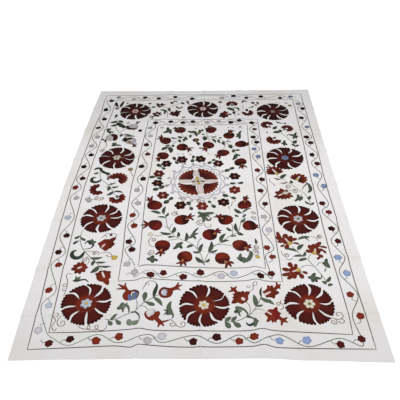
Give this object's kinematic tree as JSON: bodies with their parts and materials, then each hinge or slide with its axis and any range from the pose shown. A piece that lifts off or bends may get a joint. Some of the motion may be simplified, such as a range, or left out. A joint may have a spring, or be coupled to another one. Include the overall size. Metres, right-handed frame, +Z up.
{
  "type": "suzani embroidered textile",
  "caption": "Flat embroidered cotton spread or wall hanging, sewn from three loom widths, with rosettes, pomegranates, leafy sprays and vine borders.",
  "frame": {"origin": "centre of the footprint, on the surface that the cloth lies on", "axes": "+X across the cloth, +Y along it from the foot edge to the head edge, +Z up out of the embroidered face"},
  "size_m": [1.778, 2.502, 0.0129],
  "materials": {
    "cotton_ground": "bleached plain-weave cotton, matt",
    "thread_maroon": "couched silk thread, soft sheen",
    "thread_rust": "couched silk thread, soft sheen",
    "thread_green": "couched silk thread, soft sheen",
    "thread_blue": "couched silk thread, soft sheen",
    "thread_grey": "couched silk thread, soft sheen",
    "thread_yellow": "couched silk thread, soft sheen",
    "thread_white": "cotton sewing thread, matt"
  },
  "bodies": {
    "root": {"panel_left": "cotton_ground", "panel_centre": "cotton_ground", "panel_right": "cotton_ground"}
  },
  "joints": []
}
